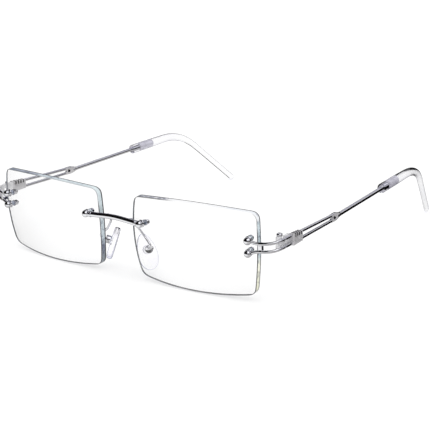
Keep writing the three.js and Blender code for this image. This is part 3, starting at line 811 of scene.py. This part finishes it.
def rail_rivet():
    head = {"radius": 0.62, "low": 0.7, "high": 0.92}
    side = [(head["radius"], head["low"]), (0.85 * head["radius"], head["high"]), (0, head["high"])]
    lower = [(r, -h) for r, h in reversed(side)]
    profile = lower + [(RIVET["radius"], -head["low"]), (RIVET["radius"], head["low"])] + side
    return turned(rounded(profile, 0.08, 2), 28).moved(HINGE_FRAME @ shift(0, RIVET["y"], 0) @ ALONG_X)


def clasp():
    """A ribbed sleeve round the two rails."""
    front = WIRE_SPACING / 2 + WIRE_RADIUS + 0.15
    rear = front - 0.3
    length = CLASP["end"] - CLASP["start"]
    outline = [(CLASP["start"], -front), (CLASP["end"], -rear)]
    outline += [(y, -z) for y, z in reversed(outline)]
    body = bevelled(side_plate(outline, CLASP["inner"], CLASP["outer"]), 0.25, 4)
    outer, inner = CLASP["outer"] - 0.24, CLASP["inner"] + 0.24
    narrow, wide, upper = 0.25, 0.38, 0.75
    grooves = []
    for i in range(4):
        y = CLASP["start"] + length * (i + 1) / 5
        grooves += [
            block((outer, y - narrow, -4), (outer + 2, y + narrow, 4)),
            block((outer - 0.1, y - wide, upper), (outer + 2, y + wide, 4)),
            block((inner - 2.24, y - wide, upper), (inner, y + wide, 4)),
            block((-4, y - wide, rear - 0.14), (4, y + wide, 4)),
            block((-4, y - narrow, -4), (4, y + narrow, 0.14 - rear)),
        ]
    bores = [tube(rail_route(side, 3), WIRE_RADIUS + 0.02) for side in (-1, 1)]
    whole = bevelled(cut(body, grooves + bores), 0.05, 2)

    # The faces in the top grooves take the near-black metal: painted shade in the grooves.
    def in_top_groove(middle, normal):
        if not CLASP["start"] + 0.1 < middle[1] < CLASP["end"] - 0.1 or middle[2] < upper - 0.01:
            return False
        sunk = CLASP["inner"] + 0.1 < middle[0] < CLASP["outer"] - 0.1
        return sunk and (abs(normal[1]) > 0.7 or abs(normal[0]) > 0.7 or middle[2] < rear - 0.1)
    return painted(whole, in_top_groove).moved(HINGE_FRAME)


def ferrule():
    """The knurled metal insert in the tip: a band of diamonds between turned rings."""
    start, end = FERRULE["start"], FERRULE["end"]
    sides = 72
    rings = []
    for y in np.linspace(start, end, 150):
        share = (y - start) / (end - start)
        ring_cut = 0.16 if abs(share - 0.06) < 0.025 or abs(share - 0.62) < 0.03 else 0
        edge = 0.25 * max(0.0, 1 - min(share, 1 - share) / 0.02)
        ring = []
        for i in range(sides):
            angle = 2 * math.pi * i / sides
            knurl = 0.0
            if 0.1 < share < 0.58 or 0.67 < share < 0.97:
                left, right = (1 - math.cos(9 * angle + way * 5.5 * y) for way in (1, -1))
                knurl = 0.06 * left * right / 2
            size = FERRULE["radius"] - ring_cut - edge - knurl
            ring.append((size * math.cos(angle), size * math.sin(angle), y))
        rings.append(ring)
    bore = FERRULE["bore"]
    rings += [[(bore * x, bore * z, y) for x, z in circle(sides)] for y in (end, start)]
    return loft(rings, close=True).moved(BAR_FRAME @ ALONG_Y)


def tip_route():
    """The tip's centre line in the glasses' frame."""
    straight = place(BAR_FRAME, (0, TIP_START, 0))
    corner = place(BAR_FRAME, (0, TIP_BEND, 0))
    end = np.array(TIP_END)
    leg = unit(end - corner)
    bend_start = place(BAR_FRAME, (0, TIP_BEND - TIP_BEND_HALF, 0))
    bend_end = corner + TIP_BEND_HALF * leg
    curve = [bend(bend_start, corner, bend_end, t) for t in np.linspace(0, 1, 40)]
    return np.array([straight, *curve, end])


def tip_size(s):
    """Half width and half height of the tip's oval section, s from 0 at the mouth to 1 at the end."""
    share = min(max((s - 0.1) / 0.65, 0), 1)
    ease = share * share * (3 - 2 * share)
    return 1.75 + (1.15 - 1.75) * ease, 2.0 + (1.35 - 2.0) * ease


def temple_tip():
    """Oval rings along the route, eased at the mouth and domed at the end."""
    step, dome = 0.2, 1.5
    route = resampled(tip_route(), step)
    length = step * (len(route) - 1)
    frames = frames_along(route, HINGE_FRAME[:3, 0])
    marks = [(0, 0.62), (0.06, 0.8), (0.18, 0.9), (0.36, 0.97), (0.55, 1.0)]
    marks += [(step * i, 1.0) for i in range(4, len(route), 4) if step * i < length - dome]
    quarter = [math.pi / 2 * k / 8 for k in range(8, 0, -1)]
    marks += [(length - dome * (1 - math.cos(a)), math.sin(a)) for a in quarter]
    skin = [[route[0] + 0.02 * frames[0][0]]]
    for distance, size in marks:
        at = min(distance / step, len(route) - 1)
        low = min(int(at), len(route) - 2)
        centre = route[low] + (at - low) * (route[low + 1] - route[low])
        _, across, up = frames[low]
        half_width, half_height = (size * value for value in tip_size(distance / length))
        skin.append([centre + half_width * x * across + half_height * y * up for x, y in circle(40)])
    return loft(skin + [[route[-1]]])


# ---- Materials ----
def grey(value, blue=0.0):
    return value, value + blue / 2, value + blue


BLACK, WHITE = grey(0), grey(1)
ALONG_BAR = (1, 0.05, 1)
# What the lenses' painted light and shade bands are measured over, in metres in the row frame.
LENS_SPAN = (-0.07, 0.07)
LENS_RISE = (0, 0.035)


def nodes_of(name):
    material = bpy.data.materials.new(name)
    material.use_nodes = True
    tree = material.node_tree
    return material, tree, tree.nodes["Principled BSDF"]


def fill(tree, node, inputs):
    """Sets each input to its value, or links it when that is another node's output."""
    for name, value in inputs.items():
        if isinstance(value, bpy.types.NodeSocket):
            tree.links.new(value, node.inputs[name])
        else:
            node.inputs[name].default_value = value


def add_node(tree, kind, inputs, operation=None):
    node = tree.nodes.new("ShaderNode" + kind)
    if operation:
        node.operation = operation
    fill(tree, node, inputs)
    return node


def maths(tree, operation, first, second):
    return add_node(tree, "Math", {0: first, 1: second}, operation).outputs["Value"]


def vector_maths(tree, operation, source, vector):
    return add_node(tree, "VectorMath", {0: source, 1: vector}, operation).outputs["Value"]


def coordinates(tree, kind="Object"):
    """Object coordinates are metres in the row frame. A world's Generated ones are directions."""
    return tree.nodes.new("ShaderNodeTexCoord").outputs[kind]


def noise(tree, scale, detail=3.0, stretch=(1, 1, 1)):
    """A noise texture in object coordinates, stretched along the axes."""
    mapping = add_node(tree, "Mapping", {"Vector": coordinates(tree), "Scale": stretch})
    inputs = {"Vector": mapping.outputs["Vector"], "Scale": scale, "Detail": detail}
    return add_node(tree, "TexNoise", inputs).outputs["Fac"]


def ramp(tree, source, stops):
    node = add_node(tree, "ValToRGB", {"Fac": source})
    elements = node.color_ramp.elements
    while len(elements) < len(stops):
        elements.new(0.5)
    for element, (position, colour) in zip(elements, stops):
        element.position = position
        element.color = (*colour, 1)
    return node.outputs["Color"]


def ranged(tree, source, low, high):
    inputs = {"Value": source, "To Min": low, "To Max": high}
    return add_node(tree, "MapRange", inputs).outputs["Result"]


def coordinate(tree, axis, low, high):
    """How far along one of the row frame's axes, 0 at low and 1 at high."""
    split = add_node(tree, "SeparateXYZ", {"Vector": coordinates(tree)})
    inputs = {"Value": split.outputs[axis], "From Min": low, "From Max": high}
    return add_node(tree, "MapRange", inputs).outputs["Result"]


def blended(tree, share, first, second, blend="MIX"):
    node = tree.nodes.new("ShaderNodeMix")
    node.data_type = "RGBA"
    node.blend_type = blend
    fill(tree, node, {"Factor": share, "A": first, "B": second})
    return node.outputs["Result"]


def multiplied(tree, first, second):
    return blended(tree, 1.0, first, second, "MULTIPLY")


def bump(tree, shader, source, distance, strength):
    inputs = {"Height": source, "Distance": distance, "Strength": strength}
    tree.links.new(add_node(tree, "Bump", inputs).outputs["Normal"], shader.inputs["Normal"])


def mirror_share(tree):
    """1 for a ray that metal mirrors, and 0 for a ray from the camera or through something clear."""
    path = tree.nodes.new("ShaderNodeLightPath").outputs
    inputs = {0: path["Is Glossy Ray"], 1: path["Is Transmission Ray"]}
    share = add_node(tree, "Math", inputs, "SUBTRACT")
    share.use_clamp = True
    return share.outputs["Value"]


def show(tree, share, usual, other, output):
    """Sends the usual shader to the output, and the other one in its place by share."""
    mix = add_node(tree, "MixShader", {"Fac": share, 1: usual, 2: other})
    tree.links.new(mix.outputs["Shader"], tree.nodes[output].inputs["Surface"])


def let_light_through(tree, shader, tint, mirrored):
    """Shadow and diffuse rays pass a clear part, tinted. If mirrored, so do rays that metal mirrors."""
    path = tree.nodes.new("ShaderNodeLightPath").outputs
    passing = maths(tree, "MAXIMUM", path["Is Shadow Ray"], path["Is Diffuse Ray"])
    if mirrored:
        passing = maths(tree, "MAXIMUM", passing, mirror_share(tree))
    clear = add_node(tree, "BsdfTransparent", {"Color": (*tint, 1)})
    show(tree, passing, shader.outputs["BSDF"], clear.outputs["BSDF"], "Material Output")


def metal(name, dark, light, smooth, rough, grain=(1, 1, 1), relief=0.0, metallic=1.0):
    material, tree, shader = nodes_of(name)
    streaks = noise(tree, 2600, 5, grain)
    fill(tree, shader, {
        "Metallic": metallic,
        "Base Color": ramp(tree, noise(tree, 420, 4), [(0.3, dark), (0.7, light)]),
        "Roughness": ranged(tree, streaks, smooth, rough),
    })
    if relief:
        bump(tree, shader, streaks, 0.00002, relief)
    return material


def flecks(tree, across):
    """Small dark flecks, gathered in patches: painted reflection, for the mottled dark that the polished
    edge mirrors.
    """
    total = maths(tree, "ADD", noise(tree, 38, 2), noise(tree, 620, 3))
    weight = ramp(tree, across, [
        (0.2, grey(0.54)), (0.24, grey(0.49)), (0.5, grey(0.49)), (0.58, grey(0.55)),
        (0.67, grey(0.55)), (0.71, grey(0.4)), (0.92, grey(0.4)), (0.94, grey(0.48)),
    ])
    share = maths(tree, "MULTIPLY", total, weight)
    return ramp(tree, share, [(0.5, WHITE), (0.54, (0.66, 0.66, 0.7)), (0.6, (0.3, 0.31, 0.37))])


def edge_painted_light(tree, colour):
    """The edge's painted light and shade over its own tint: painted dark at one end of each lens's top,
    clearer at the other, painted dark low down.
    """
    across = coordinate(tree, "X", *LENS_SPAN)
    height = coordinate(tree, "Z", *LENS_RISE)
    along = ramp(tree, across, [
        (0.2, (0.3, 0.34, 0.42)), (0.24, (0.68, 0.77, 0.79)), (0.4, (0.68, 0.77, 0.78)),
        (0.5, (0.66, 0.75, 0.79)), (0.6, (0.6, 0.61, 0.64)), (0.665, (0.66, 0.66, 0.68)),
        (0.7, grey(0.98)), (0.935, (0.97, 0.98, 0.98)),
    ])
    nasal = ramp(tree, height, [(0.05, grey(0.4)), (0.28, (0.24, 0.24, 0.33)), (0.38, WHITE)])
    temporal = ramp(tree, height, [
        (0.08, grey(0.5)), (0.13, (1.0, 0.98, 0.74)), (0.42, (1, 1, 0.84)),
        (0.5, (0.7, 0.8, 0.83)), (0.84, (0.7, 0.8, 0.83)), (0.88, WHITE),
    ])
    side = ramp(tree, across, [(0.5, BLACK), (0.52, WHITE)])
    bands = multiplied(tree, along, blended(tree, side, nasal, temporal))
    return multiplied(tree, multiplied(tree, colour, bands), flecks(tree, across))


def bevel_painted_shade(tree, colour):
    """The front chamfer's painted shade: dark, but clear along most of each lens's top."""
    clear = ramp(tree, coordinate(tree, "X", *LENS_SPAN), [
        (0.2, grey(0.12, 0.04)), (0.24, grey(0.45, 0.05)), (0.43, grey(0.45, 0.05)),
        (0.5, grey(0.12)), (0.66, grey(0.12)), (0.71, grey(0.93)), (0.92, grey(0.93)), (0.94, grey(0.3)),
    ])
    top = ramp(tree, coordinate(tree, "Z", *LENS_RISE), [(0.74, BLACK), (0.8, WHITE)])
    return blended(tree, top, colour, clear)


def clear_material(name, tints_and_shade, roughness, ior, shadow, scale, relief=0.0, rim=None, gloss=0.5,
                   clarity=1.0, bands=None, mirrored=True):
    """See-through plastic. rim is the painted shade that it takes where its surface turns away, for the dark
    that refraction gives at its outline.
    """
    material, tree, shader = nodes_of(name)
    colour = ramp(tree, noise(tree, scale, 2), list(zip((0.35, 0.65), tints_and_shade)))
    # Painted shade: darker where the surface turns away.
    if rim:
        turned_away = add_node(tree, "LayerWeight", {"Blend": 0.5}).outputs["Facing"]
        colour = multiplied(tree, colour, ramp(tree, turned_away, rim))
    # bands paint light and shade over the colour by place.
    if bands:
        colour = bands(tree, colour)
    smudges = noise(tree, scale * 3, 4)
    fill(tree, shader, {
        "Transmission Weight": clarity,
        "IOR": ior,
        "Specular IOR Level": gloss,
        "Base Color": colour,
        "Roughness": ranged(tree, smudges, *roughness),
    })
    if relief:
        bump(tree, shader, smudges, 0.00005, relief)
    let_light_through(tree, shader, shadow, mirrored)
    return material


CHROME = metal("polished_chrome", (0.86, 0.87, 0.9), (0.93, 0.93, 0.95), 0.02, 0.09)
SATIN = metal("satin_metal", (0.6, 0.59, 0.6), (0.74, 0.73, 0.75), 0.22, 0.36, ALONG_BAR, 0.25, 0.45)
# Near-black metal: the rivet's own black, and painted shade in the clasp's top grooves.
BLACK_STEEL_AND_GROOVE_SHADE = metal("blackened_metal_and_groove_shade", (0.02, 0.02, 0.025), (0.05, 0.05, 0.06), 0.3, 0.45, relief=0.2)
BRIGHT = metal(
    "brushed_bright_metal", (0.78, 0.78, 0.8), (0.92, 0.92, 0.93), 0.14, 0.26, ALONG_BAR, 0.15, 0.3)
KNURLED = metal(
    "knurled_metal", (0.6, 0.59, 0.64), (0.84, 0.83, 0.88), 0.2, 0.4, relief=0.3, metallic=0.3)
LENS_FACE = clear_material(
    "lens_face", ((0.99, 0.995, 1), WHITE), (0.0, 0.01), 1.5, grey(0.985), 40, gloss=0.05)
LENS_EDGE = clear_material(
    "lens_edge", ((0.82, 0.84, 0.88), WHITE), (0.1, 0.3), 1.5, (0.74, 0.74, 0.75), 90,
    clarity=0.2, bands=edge_painted_light)
# The front chamfer and the back line are near black: painted shade, for the dark that refraction shows along
# a clear edge.
LENS_BEVEL = clear_material(
    "lens_bevel", ((0.02, 0.02, 0.025), (0.1, 0.1, 0.11)), (0.25, 0.4), 1.5, (0.5, 0.5, 0.51), 150,
    clarity=0.2, bands=bevel_painted_shade)
LENS_BACK_BEVEL = clear_material(
    "lens_back_bevel", ((0.02, 0.02, 0.025), (0.09, 0.09, 0.1)), (0.25, 0.4), 1.5, (0.5, 0.5, 0.51),
    150, clarity=0.2)
# The tip's rim colour is painted shade: greyer towards its outline.
CLEAR_TIP = clear_material(
    "clear_tip", ((0.97, 0.97, 0.99), WHITE), (0.01, 0.05), 1.38, (0.86, 0.86, 0.9), 60,
    rim=[(0.4, WHITE), (0.66, (0.95, 0.95, 0.97)), (0.8, (0.82, 0.81, 0.85)), (0.95, (0.66, 0.66, 0.71))])
CLEAR_SLEEVE = clear_material(
    "clear_sleeve", ((0.93, 0.94, 0.96), (0.98, 0.98, 1)), (0.05, 0.12), 1.46, (0.85, 0.86, 0.9), 300)
# The pad's rim colour is painted shade: blue-grey and darker towards its outline.
SILICONE = clear_material(
    "clear_silicone", ((0.95, 0.94, 0.99), WHITE), (0.05, 0.14), 1.41, (0.87, 0.87, 0.88), 200,
    relief=0.15, gloss=0.05, mirrored=False,
    rim=[(0.2, WHITE), (0.38, (0.8, 0.8, 0.9)), (0.55, (0.5, 0.52, 0.68)), (0.85, (0.24, 0.27, 0.42))])


# ---- Making the pieces ----
def make(name, form, materials, body, node):
    mesh = mesh_of(form, name, MM, ROW_SHIFT)
    for polygon in mesh.polygons:
        polygon.use_smooth = True
    mesh.set_sharp_from_angle(angle=math.radians(32))
    for material in materials:
        mesh.materials.append(material)
    piece = added(name, mesh)
    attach(piece, body)
    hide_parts(node)


# For each kind of piece: its form, its materials, its body and its material slot.
FRONT, TEMPLE, PAD = "front", "temple_{side}", "nose_pad_{side}"
SIDED = {
    "lens_{side}": (lens(), [LENS_FACE, LENS_EDGE, LENS_BEVEL, LENS_BACK_BEVEL], FRONT, "lens"),
    "endpiece_{side}": (endpiece(), [CHROME], FRONT, "chrome"),
    "pad_arm_{side}": (pad_arm(), [CHROME], FRONT, "chrome"),
    "pad_box_{side}": (pad_box(), [CHROME], FRONT, "chrome"),
    "pad_screw_{side}": (pad_screw(), [CHROME], FRONT, "chrome"),
    "pad_stem_{side}": (pad_stem(), [CHROME], PAD, "chrome"),
    "nose_pad_{side}": (nose_pad(), [SILICONE], PAD, "silicone_pad"),
    "hinge_front_leaf_{side}": (hinge_front_leaf(), [BRIGHT], FRONT, "satin_steel"),
    "hinge_screw_{side}": (hinge_screw(), [CHROME], FRONT, "chrome"),
    "hinge_temple_leaf_{side}": (hinge_temple_leaf(), [BRIGHT], TEMPLE, "satin_steel"),
    "temple_bar_{side}": (temple_bar(), [CHROME, SATIN], TEMPLE, "chrome"),
    "temple_clasp_{side}": (clasp(), [SATIN, BLACK_STEEL_AND_GROOVE_SHADE], TEMPLE, "chrome"),
    "rail_rivet_{side}": (rail_rivet(), [BLACK_STEEL_AND_GROOVE_SHADE], TEMPLE, "black_steel"),
    "temple_ferrule_{side}": (ferrule(), [KNURLED], TEMPLE, "satin_steel"),
    "temple_tip_{side}": (temple_tip(), [CLEAR_TIP], TEMPLE, "clear_tip"),
}
SCREW, NUT, SLEEVE = ball_screw(), dome_nut(), lens_sleeve()
for hole, matrix in SEATS.items():
    SIDED["lens_screw_" + hole + "_{side}"] = (SCREW.moved(matrix), [CHROME], FRONT, "chrome")
    SIDED["lens_nut_" + hole + "_{side}"] = (NUT.moved(matrix), [CHROME], FRONT, "chrome")
    sleeve = (SLEEVE.moved(matrix), [CLEAR_SLEEVE], FRONT, "clear_sleeve")
    SIDED["lens_sleeve_" + hole + "_{side}"] = sleeve

for pattern, (form, materials, body, slot) in SIDED.items():
    for side, shape in (("left", form), ("right", form.mirrored())):
        node = pattern.format(side=side)
        make("fine_" + node, shape, materials, body.format(side=side), node)
make("fine_bridge", bridge(), [CHROME], FRONT, "bridge")


# ---- Floor, light and camera ----
def plane(name, width, depth, matrix, material):
    x, y = width / 2, depth / 2
    points = [(-x, -y, 0), (x, -y, 0), (x, y, 0), (-x, y, 0)]
    mesh = bpy.data.meshes.new(name)
    mesh.from_pydata(points, [], [(0, 1, 2, 3)])
    mesh.materials.append(material)
    obj = added(name, mesh)
    obj.matrix_world = Matrix([list(row) for row in matrix])
    return obj


def plain(name, colour, roughness):
    material, tree, shader = nodes_of(name)
    fill(tree, shader, {"Base Color": (*colour, 1), "Roughness": roughness, "Specular IOR Level": 0.0})
    return material


def dark_card(name, width, depth, matrix):
    """A black flag that only metal mirrors, for the dark streaks in it."""
    card = plane(name, width, depth, matrix, plain(name, (0.004, 0.004, 0.005), 1.0))
    card.visible_camera = False
    card.visible_diffuse = False
    card.visible_shadow = False
    card.visible_transmission = False


def soft_sun(name, strength, spread, position):
    """A wide soft light from the direction of position."""
    data = bpy.data.lights.new(name, "SUN")
    data.energy = strength
    data.angle = math.radians(spread)
    lamp = added(name, data)
    lamp.rotation_euler = (-Vector(position)).to_track_quat("-Z", "Y").to_euler()


def swept_floor():
    """White paper. What metal mirrors of it is a painted reflection: emitted, pale in front, grey under the
    glasses as painted shade, and falling to dark towards the horizon.
    """
    material = plain("floor_white", grey(0.95), 0.9)
    tree = material.node_tree
    reach = vector_maths(tree, "DISTANCE", coordinates(tree), (0, -0.2, 0))
    painted_reflection = ramp(tree, reach, [
        (0.11, grey(0.95)), (0.135, (0.5, 0.49, 0.49)), (0.29, (0.5, 0.49, 0.48)),
        (0.42, (0.12, 0.12, 0.13)), (0.6, grey(0.01)),
    ])
    # Painted reflection: only rays that metal mirrors see this glow; the camera sees the white paper.
    mirrored = add_node(tree, "Emission", {"Color": painted_reflection}).outputs["Emission"]
    usual = tree.nodes["Principled BSDF"].outputs["BSDF"]
    show(tree, mirror_share(tree), usual, mirrored, "Material Output")
    plane("floor", 8, 8, shift(0, 0, -0.0002), material)


def studio_world():
    """White all round, except that metal mirrors grey bands between softboxes."""
    world = bpy.data.worlds.new("studio")
    world.use_nodes = True
    tree = world.node_tree
    usual = tree.nodes["Background"]
    fill(tree, usual, {"Color": (*WHITE, 1), "Strength": 1.02})
    direction = coordinates(tree, "Generated")
    upward = add_node(tree, "SeparateXYZ", {"Vector": direction}).outputs["Z"]
    height = upward
    for low_wall in ((0.148, 0.203, 0), (0, -0.3, 0)):
        wall = vector_maths(tree, "DOT_PRODUCT", direction, low_wall)
        height = maths(tree, "MINIMUM", height, maths(tree, "SUBTRACT", upward, wall))
    bands = ramp(tree, height, [
        (0.16, grey(0.006)), (0.19, WHITE), (0.25, WHITE), (0.3, (0.42, 0.41, 0.47)),
        (0.6, (0.34, 0.33, 0.4)), (0.68, (0.9, 0.9, 0.92)), (1.0, (0.8, 0.8, 0.82)),
    ])
    aside = vector_maths(tree, "DOT_PRODUCT", direction, (-0.45, -0.35, 0.82))
    open_side = ramp(tree, aside, [(0.56, WHITE), (0.64, grey(0.01))])
    mirrored = add_node(tree, "Background", {"Color": multiplied(tree, bands, open_side)})
    outputs = usual.outputs["Background"], mirrored.outputs["Background"]
    show(tree, mirror_share(tree), *outputs, "World Output")
    bpy.context.scene.world = world


studio_world()
swept_floor()
bpy.context.scene.view_settings.view_transform = "Standard"
soft_sun("key", 0.5, 50, (0.4, -0.3, 1.0))
dark_card("floor_flag", 0.45, 0.5, shift(0.235, 0.22, 0.00005))


def place_camera():
    """The camera on a sphere round its target, rolled a little."""
    azimuth, elevation, roll = (math.radians(a) for a in (36.142, 15.382, -0.337))
    target, distance = (0.021278, -0.04027, 0.01957), 0.46947
    look = turn("Z", azimuth) @ turn("X", math.pi / 2 - elevation) @ turn("Z", roll)
    matrix = shift(*target) @ look @ shift(0, 0, distance)
    data = bpy.data.cameras.new("camera")
    data.lens = 101.58
    data.sensor_width = 36
    data.clip_start = 0.01
    camera = added("camera", data)
    camera.matrix_world = Matrix([list(row) for row in matrix])
    bpy.context.scene.camera = camera


place_camera()
